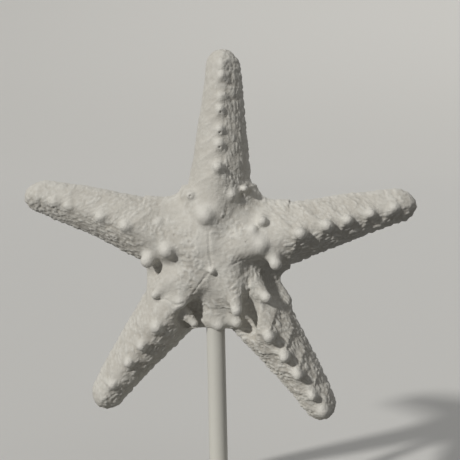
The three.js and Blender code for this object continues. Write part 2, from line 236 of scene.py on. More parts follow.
def soft_sun(name, direction, strength, angle, colour=(1, 1, 1)):
    """Even light from one direction. A wider angle makes softer shadows."""
    lamp = bpy.data.lights.new(name, "SUN")
    lamp.energy = strength
    lamp.angle = math.radians(angle)
    lamp.color = colour
    made = bpy.data.objects.new(name, lamp)
    made.rotation_mode = "QUATERNION"
    made.rotation_quaternion = Vector(direction).to_track_quat("Z", "Y")
    bpy.context.scene.collection.objects.link(made)
    return made


soft_sun("key_light", (-0.72, -0.85, 0.62), 2.45, 4, (1.0, 0.985, 0.955))
soft_sun("back_light", (0.15, 1.0, 0.4), 0.8, 20)
soft_sun("top_light", (0.35, -0.35, 1.0), 0.5, 60)

world = bpy.data.worlds.new("studio_air")
world.use_nodes = True
world.node_tree.nodes["Background"].inputs["Color"].default_value = (1.0, 0.99, 0.97, 1)
world.node_tree.nodes["Background"].inputs["Strength"].default_value = 0.13
bpy.context.scene.world = world
bpy.context.scene.view_settings.view_transform = "Standard"

# %% [markdown]
# The measure of the starfish
#
# The real animal has a wide domed disc, five arms with a ridged roof, a row of blunt knobs along
# each ridge and bigger knobs on the disc. All of it is written down here as sizes in millimetres,
# in the star's own frame: x to the right, y towards the top arm, z out of the knobbed face.
# The flat underside is z = 0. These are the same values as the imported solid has.

# %% Sizes of the star
CENTRE_HEIGHT = 138
ROD_DIAMETER = 9.5
ROD_DEPTH_IN_STAR = 6.5
ROD_TOP_IN_STAR = -20
TIP_ROUND = 10
TIP_HALF_WIDTH = 8.5
HALF_WIDTH_GROWTH = 0.125
HEIGHT_PER_HALF_WIDTH = 1.3
MARGIN_LEVEL = 0.32
MARGIN_FADE = 3
ROOF_POWER = 1.6
BOW_START = 45
SHOULDER = 44
ROOT_START = 18
ROOT_ROUND = 24

# heading: degrees from +x. reach: centre to tip. bow: how far the midline curves off the chord.
# crest: knobs along the ridge as (distance from the centre, rise, base radius, tip radius).
# long_side: the flank (+1 left of the heading, -1 right) whose skin runs along the arm.
# bead_tip: how much of the last stretch has coarse round beads.
# rough: how strong the skin's relief is off the long side and on it.
ARMS = [
    dict(
        heading=86.5, reach=107.6, bow=-1.3, long_side=-1, bead_tip=1.0, rough=(0.4, 0.75),
        crest=[
            (48.9, 5, 4.4, 2.8),
            (59.9, 3, 3.4, 2.1),
            (67.2, 3, 3.2, 1.9),
            (77, 3, 3, 1.9),
            (83.3, 1.5, 2.4, 1.4),
            (93.5, 2.5, 2.8, 1.8),
            (99.4, 1.5, 2.6, 1.6),
        ],
    ),
    dict(
        heading=159.45, reach=103.5, bow=-4.2, long_side=1, bead_tip=1.0, rough=(0.6, 0.95),
        crest=[
            (46.3, 3.5, 5, 2.6),
            (59.8, 2.5, 4.4, 2.2),
            (77.9, 1.2, 2.8, 1.6),
            (85.7, 1, 2.6, 1.5),
        ],
    ),
    dict(
        heading=230.4, reach=98.5, bow=-2.4, long_side=1, bead_tip=0.5, rough=(0.7, 1.0),
        crest=[
            (41.1, 4, 5, 2.6),
            (54, 4, 4.8, 2.4),
            (66.1, 3.6, 4.4, 2.2),
            (81.5, 2.4, 3.6, 2),
        ],
    ),
    dict(
        heading=304.9, reach=100, bow=3, long_side=1, bead_tip=0.35, rough=(1.1, 1.05),
        crest=[
            (44.4, 7, 5.4, 2.9),
            (57.5, 6, 5, 2.7),
            (69.3, 5.4, 4.6, 2.5),
            (83.1, 4, 4.2, 2.5),
            (93.5, 2.4, 4.2, 3),
        ],
    ),
    dict(
        heading=16.2, reach=105.9, bow=3.3, long_side=-1, bead_tip=0.5, rough=(0.75, 1.0),
        crest=[
            (46.6, 7, 5.8, 3),
            (60, 5.4, 5, 2.6),
            (70.5, 4.4, 4.6, 2.4),
            (82.2, 3.4, 4, 2.2),
            (93.9, 2, 3.2, 1.8),
        ],
    ),
]
ARM_BLEND = 8
CREST_BLEND = 3
WING_BACK = 7
WING_OUT = 0.55
WING_DROP = 0.62
WING_RADIUS_SHARE = 0.8
CREST_KNOB_LEAN = 1

MOUND = dict(centre=(2, 2.5), radius=34.5, height=11, power=2.4)
BOSS = dict(centre=(0, 5), radius=22, height=20, power=2.2)
DISC_BLEND = 4
# Plateaus, as flattened pebbles: (middle, half sizes, turn in degrees, way it leans, lean in degrees).
PLATEAUS = [
    ((-14.5, -1.5, 14.5), (11, 14, 6.5), -35, -35, 8),
    ((14.5, 10.5, 16.5), (13.5, 9.5, 6), -8, -40, 8),
]
PLATEAU_BLEND = 2.5
# Troughs between them, as (start, end, start radius, end radius).
TROUGHS = [
    ((20, 36, 22), (6, 16, 27), 6, 6),
    ((-31, -3, 14), (-19, 1, 23), 4.5, 4.5),
    ((-5, -18, 20), (-11, -27, 15), 4, 7.5),
    ((17, 0, 24.5), (36, -9, 12), 5, 9),
    ((17.5, -16, 20), (16, -33, 14), 4.5, 6),
]
TROUGH_BLEND = 4
# The low web between the two lower ridges, laid in after the troughs.
WEB = ((2, -10.5, 12), (15, 10.5, 5.5), 0, -90, -6)
# Disc knobs as (base, tip, base radius, tip radius).
DISC_KNOBS = [
    ((0, -0.5, 18), (0.2, -1.8, 22.5), 4, 1.9),
    ((-4.5, 29, 12), (-2.6, 25.6, 20.2), 9, 4.2),
    ((2.5, 38, 11), (10.9, 35.7, 17.4), 7, 2.6),
    ((16.2, 38.3, 9), (16.9, 38.4, 15.5), 4.4, 1.8),
    ((-10.5, 35, 11), (-10.1, 35.5, 16), 5, 2.3),
    ((-21.5, 8, 12), (-22.3, 8, 21.4), 9, 3.4),
    ((-28, 11, 9), (-32.6, 2.6, 16.6), 7, 3.4),
    ((-26.7, 21.5, 10), (-26.9, 21.8, 15.8), 4.5, 2),
    ((-22, -8, 11), (-29.4, -15, 17), 7.5, 2),
    ((-13, -8, 12), (-16.2, -18.2, 18.5), 8, 2.6),
    ((-18.4, -22.4, 10.5), (-10.2, -30.3, 13.2), 5.5, 2.3),
    ((8, -1, 12), (12.3, -22, 23), 9.5, 2.8),
    ((1.5, -22, 7), (2.6, -31.3, 12), 7.5, 3),
    ((6, -24, 7), (11.6, -30, 13.6), 5.4, 2.4),
    ((17.5, -8, 9), (27.2, -16, 19.6), 9.5, 2.5),
    ((27.8, 12, 12), (32, 1, 18.8), 7, 3.3),
    ((18, 11, 14), (25, 10.6, 19.6), 7, 3.6),
    ((20.8, 18, 12), (21, 18.2, 18.3), 5, 2.2),
    ((25.6, 22, 10), (25.8, 22.3, 17.4), 6, 2.5),
]
# The collar of skin round the drilled hole, in the same form.
ROD_COLLAR = ((0, -18, 7.5), (0, -28.3, 7.5), 6.9, 6.5)
COLLAR_BLEND = 3
RIDGE_START = 12
RIDGE_END = 44
RIDGE_START_HEIGHT = 13
RIDGE_END_HEIGHT = 12.5
RIDGE_START_RADIUS = 7.5
RIDGE_END_RADIUS = 5.5
KNOB_FLARE = 1.8
KNOB_BLEND_SHARE = 0.4

GROOVE_HALF_WIDTH = 3
GROOVE_START = 3
GROOVE_END_SHORT = 14
MOUTH_RADIUS = 6.5
UNDERSIDE_ROUND = 3
GROOVE_ROUND = 1.6

for arm in ARMS:
    arm["cos"] = math.cos(math.radians(arm["heading"]))
    arm["sin"] = math.sin(math.radians(arm["heading"]))
print(len(ARMS), "arms,", sum(len(arm["crest"]) for arm in ARMS), "crest knobs,",
      len(DISC_KNOBS), "disc knobs")

# %% [markdown]
# Clay: shapes as distances
#
# Knobs that flow into a skin are hard to model as separate meshes, because every join would show.
# Instead each form is a distance to its surface, below zero inside, over a block of grid points.
# The smooth smaller of two distances melts two forms together, the way clay is thumbed on,
# and the smooth larger one cuts a form away. The skin is drawn over the finished block at the end.


# %% Clay block
def smooth_min(a, b, reach):
    overlap = np.maximum(reach - np.abs(a - b), 0) / reach
    return np.minimum(a, b) - overlap * overlap * (reach / 4)


FAR = 50
TINY = 1e-4


class Clay:
    """A block of grid points with the distance to the surface at each of them."""

    def __init__(self, low, high, cell):
        self.cell = cell
        self.low = np.array(low, np.float32)
        self.axes = [
            np.arange(a, b + cell, cell, dtype=np.float32) for a, b in zip(low, high)
        ]
        self.values = np.full([len(axis) for axis in self.axes], FAR, np.float32)

    def window(self, low, high):
        """The stretch of the block between two corners, and its coordinates."""
        spans = []
        for axis, start, end in zip(self.axes, low, high):
            spans.append(slice(*np.searchsorted(axis, (start, end))))
        x, y, z = (axis[span] for axis, span in zip(self.axes, spans))
        return tuple(spans), x[:, None, None], y[None, :, None], z[None, None, :]

    def add(self, form, reach):
        low, high, distance = form
        pad = reach + 2 * self.cell
        spans, x, y, z = self.window(low - pad, high + pad)
        self.values[spans] = smooth_min(self.values[spans], distance(x, y, z), reach)

    def cut(self, form, reach):
        low, high, distance = form
        pad = reach + 2 * self.cell
        spans, x, y, z = self.window(low - pad, high + pad)
        self.values[spans] = -smooth_min(-self.values[spans], distance(x, y, z), reach)


print("clay ready")

# %% [markdown]
# The forms of the star
#
# A knob is a round-ended cone that flares towards its foot. The disc is a low mound with a higher
# boss in it. An arm is a long roof whose section is a rounded gable, widest a little above the
# underside. On the real animal the plates of an arm overlap like slates: each rises towards its
# knob and drops sharply behind it, with edges swept back down both flanks. That is a saw-toothed
# rise, added to the arm's own distance.


# %% Forms
def cone(base, tip, base_radius, tip_radius):
    base, tip = np.array(base, np.float32), np.array(tip, np.float32)
    axis = tip - base
    length_squared = float(axis @ axis)

    def distance(x, y, z):
        out = (x - base[0], y - base[1], z - base[2])
        along = (out[0] * axis[0] + out[1] * axis[1] + out[2] * axis[2]) / length_squared
        share = np.clip(along, 0, 1)
        radius = tip_radius + (base_radius - tip_radius) * (1 - share) ** KNOB_FLARE
        square = sum((o - share * a) ** 2 for o, a in zip(out, axis))
        return np.sqrt(square) - radius

    widest = max(base_radius, tip_radius)
    return np.minimum(base, tip) - widest, np.maximum(base, tip) + widest, distance


def mound(centre, radius, height, power):
    level = height * MARGIN_LEVEL
    rise = height - level

    def distance(x, y, z):
        outwards = np.hypot(x - centre[0], y - centre[1]) / radius
        upwards = np.abs(z - level) / rise
        return ((outwards**power + upwards**power) ** (1 / power) - 1) * rise

    corner = np.array((radius, radius, height))
    middle = np.array((*centre, 0))
    return middle - corner, middle + corner, distance


def pebble(middle, half_sizes, turn, lean_way, lean):
    """A flattened egg, turned in the plane of the disc and then leant towards one side."""
    axis = Vector((-math.sin(math.radians(lean_way)), math.cos(math.radians(lean_way)), 0))
    pose = Quaternion(axis, -math.radians(lean)) @ Quaternion((0, 0, 1), math.radians(turn))
    rows = np.array(pose.to_matrix().transposed(), np.float32)

    def distance(x, y, z):
        out = (x - middle[0], y - middle[1], z - middle[2])
        local = [sum(r * o for r, o in zip(row, out)) for row in rows]
        near = np.sqrt(sum((c / size) ** 2 for c, size in zip(local, half_sizes)))
        steep = np.sqrt(sum((c / size**2) ** 2 for c, size in zip(local, half_sizes)))
        return near * (near - 1) / np.maximum(steep, TINY)

    reach = max(half_sizes)
    return np.array(middle) - reach, np.array(middle) + reach, distance


def half_width(from_tip):
    return TIP_HALF_WIDTH + HALF_WIDTH_GROWTH * (np.maximum(from_tip, TIP_ROUND) - TIP_ROUND)


def arm_height(arm, from_tip):
    """The height of the ridge, which grows with the width as far as the shoulder."""
    return HEIGHT_PER_HALF_WIDTH * half_width(np.minimum(from_tip, arm["reach"] - SHOULDER))


def midline(arm, along):
    return arm["bow"] * (1 - ((along - BOW_START) / (arm["reach"] - BOW_START)) ** 2)


def arm_place(arm, x, y):
    """Distance along the arm, and across it from its curved midline."""
    along = x * arm["cos"] + y * arm["sin"]
    across = y * arm["cos"] - x * arm["sin"] - midline(arm, along)
    return along, across


PLATE_SWEEP = 0.7
PLATE_RISE_SHARE = 0.3
PLATE_CURVE = 1.7
PLATE_EDGE = 1.3
PLATE_START = 30


def plate_rise(arm, along, across, half):
    """How far the overlapping plates lift the skin at this place."""
    swept = along + PLATE_SWEEP * np.abs(across)
    rise = np.zeros_like(swept)
    start = PLATE_START
    for place, knob_rise, _, _ in arm["crest"]:
        end = place + PLATE_EDGE
        slope = np.clip((swept - start) / (place - start), 0, 1) ** PLATE_CURVE
        drop = np.clip((end - swept) / PLATE_EDGE, 0, 1)
        rise += knob_rise * PLATE_RISE_SHARE * slope * drop
        start = end
    return rise * np.clip(1 - (across / half) ** 2, 0, 1)


def arm_form(arm):
    def distance(x, y, z):
        along, across = arm_place(arm, x, y)
        from_tip = arm["reach"] - along
        half = half_width(from_tip)
        height = arm_height(arm, from_tip)
        level = height * MARGIN_LEVEL
        rise = height - level
        side = (np.abs(across) / half) ** ROOF_POWER
        roof = (np.abs(z - level) / rise) ** ROOF_POWER
        section = (side + roof) ** (1 / ROOF_POWER)
        tip_end = np.maximum(TIP_ROUND - from_tip, 0) / TIP_ROUND
        root_end = np.maximum(ROOT_START - along, 0) / ROOT_ROUND
        ends = np.sqrt(section**2 + tip_end**2 + root_end**2)
        upper = np.clip((z - level) / MARGIN_FADE, 0, 1)
        return (ends - 1) * rise - plate_rise(arm, along, across, half) * upper

    tip = np.array((arm["reach"] * arm["cos"], arm["reach"] * arm["sin"]))
    low = np.minimum(tip, 0) - half_width(arm["reach"])
    high = np.maximum(tip, 0) + half_width(arm["reach"])
    return np.array((*low, 0)), np.array((*high, 30)), distance


def on_arm(arm, along, across, z):
    side = midline(arm, along) + across
    return (along * arm["cos"] - side * arm["sin"], along * arm["sin"] + side * arm["cos"], z)


def ridge_height(arm, along):
    from_tip = arm["reach"] - along
    full = arm_height(arm, from_tip)
    tip_end = max(TIP_ROUND - from_tip, 0) / TIP_ROUND
    return full * (MARGIN_LEVEL + (1 - MARGIN_LEVEL) * math.sqrt(1 - tip_end**2))


def crest_forms(arm, along, rise, base_radius, tip_radius):
    """A crest knob, and the low ridge that it throws back down either flank."""
    height = ridge_height(arm, along)
    half = half_width(arm["reach"] - along)
    foot = on_arm(arm, along, 0, height - base_radius)
    top = on_arm(arm, along + CREST_KNOB_LEAN, 0, height + rise - tip_radius)
    forms = [cone(foot, top, base_radius, tip_radius)]
    for side in (-1, 1):
        root = on_arm(arm, along - WING_BACK, side * half * WING_OUT, height * WING_DROP)
        forms.append(cone(root, foot, tip_radius, base_radius * WING_RADIUS_SHARE))
    return forms


def radial_ridge(arm):
    start = on_arm(arm, RIDGE_START, 0, RIDGE_START_HEIGHT)
    end = on_arm(arm, RIDGE_END, 0, RIDGE_END_HEIGHT)
    return cone(start, end, RIDGE_START_RADIUS, RIDGE_END_RADIUS)


def groove(arm):
    start = on_arm(arm, GROOVE_START, 0, 0)
    end = on_arm(arm, arm["reach"] - GROOVE_END_SHORT, 0, 0)
    return cone(start, end, GROOVE_HALF_WIDTH, GROOVE_HALF_WIDTH / 2)


print("forms ready")

# %% [markdown]
# Modelling the body
#
# Now the clay is put on in the order in which a modeller would: disc, arms, the ridges that run
# over the disc into the arms, then the knobs. Last come the cuts: the flat underside, the groove
# under each arm, the mouth and the drilled hole for the rod.

# %% Body
CELL = 0.56
BLOCK_LOW = (-101, -88, -2)
BLOCK_HIGH = (106, 112, 42)
clay = Clay(BLOCK_LOW, BLOCK_HIGH, CELL)
clay.add(mound(**MOUND), 1)
clay.add(mound(**BOSS), DISC_BLEND)
for arm in ARMS:
    clay.add(arm_form(arm), ARM_BLEND)
for arm in ARMS:
    clay.add(radial_ridge(arm), DISC_BLEND)
for plateau in PLATEAUS:
    clay.add(pebble(*plateau), PLATEAU_BLEND)
for arm in ARMS:
    for knob in arm["crest"]:
        for form in crest_forms(arm, *knob):
            clay.add(form, CREST_BLEND)
for trough in TROUGHS:
    clay.cut(cone(*trough), TROUGH_BLEND)
clay.add(pebble(*WEB), PLATEAU_BLEND)
clay.add(cone(*ROD_COLLAR), COLLAR_BLEND)
for knob in DISC_KNOBS:
    clay.add(cone(*knob), knob[2] * KNOB_BLEND_SHARE)

clay.values = -smooth_min(-clay.values, clay.axes[2][None, None, :], UNDERSIDE_ROUND)
for arm in ARMS:
    clay.cut(groove(arm), GROOVE_ROUND)
mouth = np.full(3, MOUTH_RADIUS, np.float32)
clay.cut((-mouth, mouth, lambda x, y, z: np.sqrt(x * x + y * y + z * z) - MOUTH_RADIUS), GROOVE_ROUND)


HOLE_RADIUS = ROD_DIAMETER / 2 + 0.2
HOLE_ROUND = 0.6
HOLE_WINDOW = (np.array((-6, -60, -2)), np.array((6, -19, 13)))


def rod_hole(x, y, z):
    sideways = np.hypot(x, z - ROD_DEPTH_IN_STAR) - HOLE_RADIUS
    return np.maximum(sideways, y - ROD_TOP_IN_STAR)


clay.cut((*HOLE_WINDOW, rod_hole), HOLE_ROUND)
print("clay block", clay.values.shape)

# %% [markdown]
# Drawing the skin
#
# A surface net puts one point in each small cube that the surface passes through, at the middle
# of its crossings, and one four-sided face across each grid edge that crosses the surface. The
# result is an even, closed net with no stretched faces, which takes fine relief well. Where the
# inside corners of a grid square lie across a diagonal, two sheets would share an edge, so the
# fainter of its outside corners is filled first.


# %% Skin net
def clear_saddles(values):
    """Fills the fainter outside corner of any grid square whose inside corners lie across a diagonal."""
    ring_steps = ((0, 0), (1, 0), (1, 1), (0, 1))
    faintest = 0.001
    changes = 1
    while changes:
        changes = 0
        for first, second in ((0, 1), (1, 2), (2, 0)):
            shape = list(values.shape)
            shape[first] -= 1
            shape[second] -= 1
            ring = []
            for a, b in ring_steps:
                span = [slice(None)] * 3
                span[first] = slice(a, a + shape[first])
                span[second] = slice(b, b + shape[second])
                ring.append(values[tuple(span)] < 0)
            saddles = (ring[0] == ring[2]) & (ring[1] == ring[3]) & (ring[0] != ring[1])
            for place in np.argwhere(saddles):
                outside = []
                for a, b in ring_steps:
                    corner = place.copy()
                    corner[first] += a
                    corner[second] += b
                    if values[tuple(corner)] >= 0:
                        outside.append(tuple(corner))
                fainter = min(outside, key=lambda corner: values[corner], default=None)
                if len(outside) == 2:
                    values[fainter] = -max(values[fainter], faintest)
                    changes += 1


def surface_net(clay):
    """Points, outward directions and four-sided faces of the clay's surface."""
    values = clay.values
    clear_saddles(values)
    inside = values < 0
    counts = np.zeros([size - 1 for size in values.shape], np.uint8)
    corners = [(a, b, c) for a in (0, 1) for b in (0, 1) for c in (0, 1)]
    for a, b, c in corners:
        counts += inside[a : a - 1 or None, b : b - 1 or None, c : c - 1 or None]
    cells = np.argwhere((counts > 0) & (counts < 8))
    number = np.full(counts.shape, -1, np.int32)
    number[tuple(cells.T)] = np.arange(len(cells))

    at = {corner: values[tuple((cells + corner).T)] for corner in corners}
    middle = np.zeros((len(cells), 3), np.float32)
    hits = np.zeros(len(cells), np.float32)
    slope = np.zeros((len(cells), 3), np.float32)
    for corner in corners:
        for axis in range(3):
            if corner[axis]:
                continue
            other = tuple(1 if i == axis else c for i, c in enumerate(corner))
            slope[:, axis] += at[other] - at[corner]
            crossed = (at[corner] < 0) != (at[other] < 0)
            share = at[corner][crossed] / (at[corner][crossed] - at[other][crossed])
            place = np.tile(np.array(corner, np.float32), (len(share), 1))
            place[:, axis] = share
            middle[crossed] += place
            hits[crossed] += 1
    points = clay.low + clay.cell * (cells + middle / hits[:, None])
    outwards = slope / np.linalg.norm(slope, axis=1, keepdims=True)

    quads = []
    for axis in range(3):
        across = [i for i in range(3) if i != axis]
        lower = [slice(None)] * 3
        upper = [slice(None)] * 3
        lower[axis], upper[axis] = slice(None, -1), slice(1, None)
        changes = inside[tuple(lower)] != inside[tuple(upper)]
        edges = np.argwhere(changes)
        edges = edges[(edges[:, across] > 0).all(axis=1)]
        u, v = (axis + 1) % 3, (axis + 2) % 3
        ring = []
        for du, dv in ((0, 0), (-1, 0), (-1, -1), (0, -1)):
            cell = edges.copy()
            cell[:, u] += du
            cell[:, v] += dv
            ring.append(number[tuple(cell.T)])
        ring = np.stack(ring, axis=1)
        turned_over = ~inside[tuple(edges.T)]
        ring[turned_over] = ring[turned_over][:, ::-1]
        quads.append(ring)
    return points.astype(np.float64), outwards.astype(np.float64), np.concatenate(quads)


points, outwards, quads = surface_net(clay)
print(len(points), "points,", len(quads), "faces")

# %% [markdown]
# Two patterns from scattered numbers
#
# The skin is not smooth: it carries grains, slates and beads. Two patterns make them all. Lumps are
# a soft up and down between random heights on a grid. Beads are the distances to the nearest and
# next nearest of scattered points. Both read a table of seeded random numbers, so the star comes
# out the same each time.

# %% Patterns
RANDOM_TABLE = np.random.default_rng(27).random((4096, 4))


def table_rows(cells, seed):
    mixed = cells[:, 0] * 73856093 ^ cells[:, 1] * 19349663 ^ cells[:, 2] * 83492791 ^ seed * 2971
    return mixed & 4095


def lumps(places, seed):
    """Smooth noise from -1 to 1 with features about one unit across."""
    cells = np.floor(places).astype(np.int64)
    inside = places - cells
    ease = inside * inside * (3 - 2 * inside)
    total = np.zeros(len(places))
    for a in (0, 1):
        for b in (0, 1):
            for c in (0, 1):
                corner = np.array((a, b, c))
                weight = np.prod(np.where(corner, ease, 1 - ease), axis=1)
                total += weight * RANDOM_TABLE[table_rows(cells + corner, seed), 0]
    return 2 * total - 1


def beads(places, seed):
    """Distance to the nearest and the next nearest scattered point, and the nearest's own number."""
    cells = np.floor(places).astype(np.int64)
    nearest = np.full(len(places), 9.0)
    second = np.full(len(places), 9.0)
    own = np.zeros(len(places))
    for a in (-1, 0, 1):
        for b in (-1, 0, 1):
            for c in (-1, 0, 1):
                neighbour = cells + (a, b, c)
                random = RANDOM_TABLE[table_rows(neighbour, seed)]
                away = np.linalg.norm(neighbour + random[:, :3] - places, axis=1)
                closer = away < nearest
                second = np.where(closer, nearest, np.minimum(second, away))
                own = np.where(closer, random[:, 3], own)
                nearest = np.where(closer, away, nearest)
    return nearest, second, own


def fade(value, start, end):
    """0 at start, 1 at end, smooth between."""
    share = np.clip((value - start) / (end - start), 0, 1)
    return share * share * (3 - 2 * share)


print("patterns ready")

# %% [markdown]
# Where on the star each point lies
#
# The relief follows the animal: it differs on the flanks, the tips, the margins, the knobs and the
# underside. So each point gets the arm that it belongs to, its place along and across that arm,
# and how near it is to the top of a knob.

# %% Places on the star
z = points[:, 2]
places = [arm_place(arm, points[:, 0], points[:, 1]) for arm in ARMS]
along_each = np.stack([place[0] for place in places])
across_each = np.stack([place[1] for place in places])
owner = along_each.argmax(axis=0)
rows = np.arange(len(points))
along = along_each[owner, rows]
across = across_each[owner, rows]
reach = np.array([arm["reach"] for arm in ARMS])[owner]
from_tip = reach - along
half = half_width(from_tip)
level = np.zeros(len(points))
for number, arm in enumerate(ARMS):
    level[owner == number] = arm_height(arm, from_tip[owner == number]) * MARGIN_LEVEL

knob_tops = [knob[1] for knob in DISC_KNOBS]
knob_sizes = [knob[3] for knob in DISC_KNOBS]
for arm in ARMS:
    for place, rise, _, tip_radius in arm["crest"]:
        top = ridge_height(arm, place) + rise - tip_radius
        knob_tops.append(on_arm(arm, place + CREST_KNOB_LEAN, 0, top))
        knob_sizes.append(tip_radius)
on_knob = np.zeros(len(points))
for top, size in zip(knob_tops, knob_sizes):
    away = np.linalg.norm(points - np.array(top), axis=1)
    on_knob = np.maximum(on_knob, 1 - fade(away, size * 0.9, size * 1.9))

face_up = fade(z, 1.0, 3.5)
on_arm_share = fade(along, 26, 44)
print("points on knobs:", int((on_knob > 0.5).sum()))

# %% [markdown]
# Slates along the arms
#
# Long scales cover the flanks of the real arms. They could be modelled one by one, but a bead
# pattern that is stretched does it: where the nearest and the next nearest point are equally far
# there is a narrow valley. On one flank the scales run along the arm, and on the other they
# sweep back with the plates. Noise bends both coordinates first, so that no row is straight.

# %% Slates
WARP_SIZE = 6
SLATE_LENGTH = 5.5
SWEPT_SLATE_LENGTH = 4.6
SLATE_WIDTH = 1.9
SLATE_VALLEY = 0.45
warp = np.stack([lumps(points / WARP_SIZE, seed) for seed in (1, 2, 3)], axis=1)


def slates(first, second, third, seed):
    """Long raised scales with a narrow valley between them."""
    near, next_near, own = beads(np.stack((first, second, third), axis=1), seed)
    return fade(next_near - near, 0.0, SLATE_VALLEY) * (0.7 + 0.6 * own) - 0.6


bent_along = along + warp[:, 0] * 1.5
bent_across = across + warp[:, 1] * 1.2
long_side = np.array([arm["long_side"] for arm in ARMS])[owner]
on_long_side = fade(across * long_side, -1.5, 2.5)
lengthwise = slates(bent_along / SLATE_LENGTH, bent_across / SLATE_WIDTH, z / SLATE_WIDTH, 11)
swept = bent_along + PLATE_SWEEP * np.abs(across)
crosswise = slates(swept / SLATE_WIDTH, bent_across / SWEPT_SLATE_LENGTH, z / SWEPT_SLATE_LENGTH, 12)
flank_slates = on_long_side * lengthwise + (1 - on_long_side) * crosswise
print("slates on", int((on_arm_share > 0.5).sum()), "points")

# %% [markdown]
# Grains, beads, wrinkles and pores
#
# Small round grains lie over the whole skin, and coarse beads on the last stretch of some arms.
# Each is the nearest-point distance turned upside down. Wrinkles wander over the disc like a net:
# they are the crests where soft noise changes sign. Pores are the middles of a few scattered
# cells. Real paint lies thick in some patches, so the skin is rough in others.

# %% Grains, beads, wrinkles and pores
GRAIN_SPACING = 1.75
BEAD_SPACING = 2.1
PORE_SPACING = 4.2
PORE_CHOICE = 0.72
WRINKLE_SPACINGS = (4.6, 2.7)


def round_tops(places, seed, radius, least, spread):
    """Rounded grains of different heights, one round each scattered point."""
    near, _, own = beads(places, seed)
    return (1 - np.minimum(near / radius, 1) ** 2) * (least + spread * own) - 0.35


grains = round_tops((points + warp * 1.1) / GRAIN_SPACING, 21, 0.75, 0.5, 0.8)
coarse = round_tops(points / BEAD_SPACING, 31, 0.72, 0.7, 0.5)

wide, narrow = WRINKLE_SPACINGS
wrinkles = fade(1 - np.abs(lumps((points + warp * 2.2) / wide, 41)) * 3.2, 0, 1)
wrinkles += 0.6 * fade(1 - np.abs(lumps((points - warp * 1.6) / narrow, 42)) * 3.0, 0, 1)

near, _, own = beads(points / PORE_SPACING, 51)
pores = (1 - fade(near, 0.05, 0.16)) * (own > PORE_CHOICE)

patches = lumps(points / 11, 52) + 0.5 * lumps(points / 4, 53)
rough_patches = 0.45 + 0.75 * fade(patches, -0.35, 0.45)

bead_tip = np.array([arm["bead_tip"] for arm in ARMS])[owner]
tip_beads = (1 - fade(from_tip, 16, 30)) * bead_tip
print("pores:", int((pores > 0.5).sum()), "points")

# %% [markdown]
# Margins and grooves
#
# A row of blunt plates runs along each edge of an arm, and a row of short spines along each side of
# the groove underneath. Both repeat evenly, so a saw-tooth and a sine of the distance along the
# arm make them.

# %% Margins and grooves
MARGIN_PLATE_LENGTH = 4.4
SPINE_SPACING = 1.9
margin = fade(np.abs(across) / half, 0.72, 0.95) * (1 - fade(z - level, 1.5, 4.5))
plate_count = np.floor(along / MARGIN_PLATE_LENGTH)
plate_place = along / MARGIN_PLATE_LENGTH - plate_count
margin_plates = 1 - np.abs(2 * plate_place - 1) ** 4

beside_groove = fade(np.abs(across), 2.6, 3.6) * (1 - fade(np.abs(across), 5.4, 7.2))
spine_rows = np.abs(np.sin(math.pi * along / SPINE_SPACING)) * 0.9 - 0.3
print("margin plates on each side of an arm:", int(plate_count.max()))

# %% [markdown]
# Creases and pits
#
# The plateaus of the disc end in thin creases, and four knobs have a pit in their top. These are
# single features with places of their own, so they are short lines and points given in the
# star's frame.

# %% Creases and pits
CREASES = [
    [(-0.8, 18.1), (-0.9, 8.9), (0.1, 2.8), (0.2, 0.2)],
    [(-1.3, -2.8), (-6.4, -8.9), (-10.5, -15.1)],
    [(-29, -17), (-23.5, -17.2), (-19, -19.6), (-14.5, -18.4)],
    [(18, -6.5), (18.4, -12), (17, -18)],
    [(11, 1.4), (17, 3.8), (24.5, 5)],
]
CREASE_HALF_WIDTH = 0.75
PITTED_CREST_KNOBS = ARMS[0]["crest"][1:4]
PITTED_DISC_KNOB = (-10.1, 35.3)
PIT_OFFSET = (0.3, -0.3)
PIT_RADIUS = 0.95
pit_middles = [np.array(PITTED_DISC_KNOB)]
for place, _, _, _ in PITTED_CREST_KNOBS:
    pit_middles.append(np.array(on_arm(ARMS[0], place, 0, 0)[:2]) + PIT_OFFSET)


def crease_depth(line):
    """1 on a polyline, 0 beside it."""
    nearest = np.full(len(points), 9.0)
    for start, end in zip(line, line[1:]):
        start, run = np.array(start), np.subtract(end, start)
        share = np.clip((points[:, :2] - start) @ run / (run @ run), 0, 1)
        away = np.linalg.norm(points[:, :2] - start - share[:, None] * run, axis=1)
        nearest = np.minimum(nearest, away)
    return 1 - fade(nearest + warp[:, 2] * 0.3, 0.15, CREASE_HALF_WIDTH)


def pit_depth(middle):
    """1 in the middle of a pit, 0 beyond its radius."""
    return 1 - fade(np.linalg.norm(points[:, :2] - middle, axis=1), 0.25, PIT_RADIUS)


creases = sum(crease_depth(line) for line in CREASES) * face_up
pits = sum(pit_depth(middle) for middle in pit_middles) * face_up
print(len(CREASES), "creases,", len(pit_middles), "pits")

# %% [markdown]
# The relief
#
# All patterns come together here as heights in millimetres, pushed straight out of the skin.
# The face and the underside get different mixes, the arms differ in how rough they are, and knob
# tops are smoother, because the paint and wear have filled them.

# %% Relief
SLATE_HEIGHT = 0.42
GRAIN_HEIGHT = 0.34
WRINKLE_HEIGHT = 0.26
PORE_DEPTH = 0.55
TIP_BEAD_HEIGHT = 0.55
MARGIN_PLATE_HEIGHT = 0.45
UNDER_GRAIN_HEIGHT = 0.3
SPINE_HEIGHT = 0.5
CREASE_DEPTH = 0.45
PIT_DEPTH = 0.9
KNOB_SMOOTHING = 0.6
SOFT_LUMPS = ((13, 0.45, 5), (6, 0.22, 6))

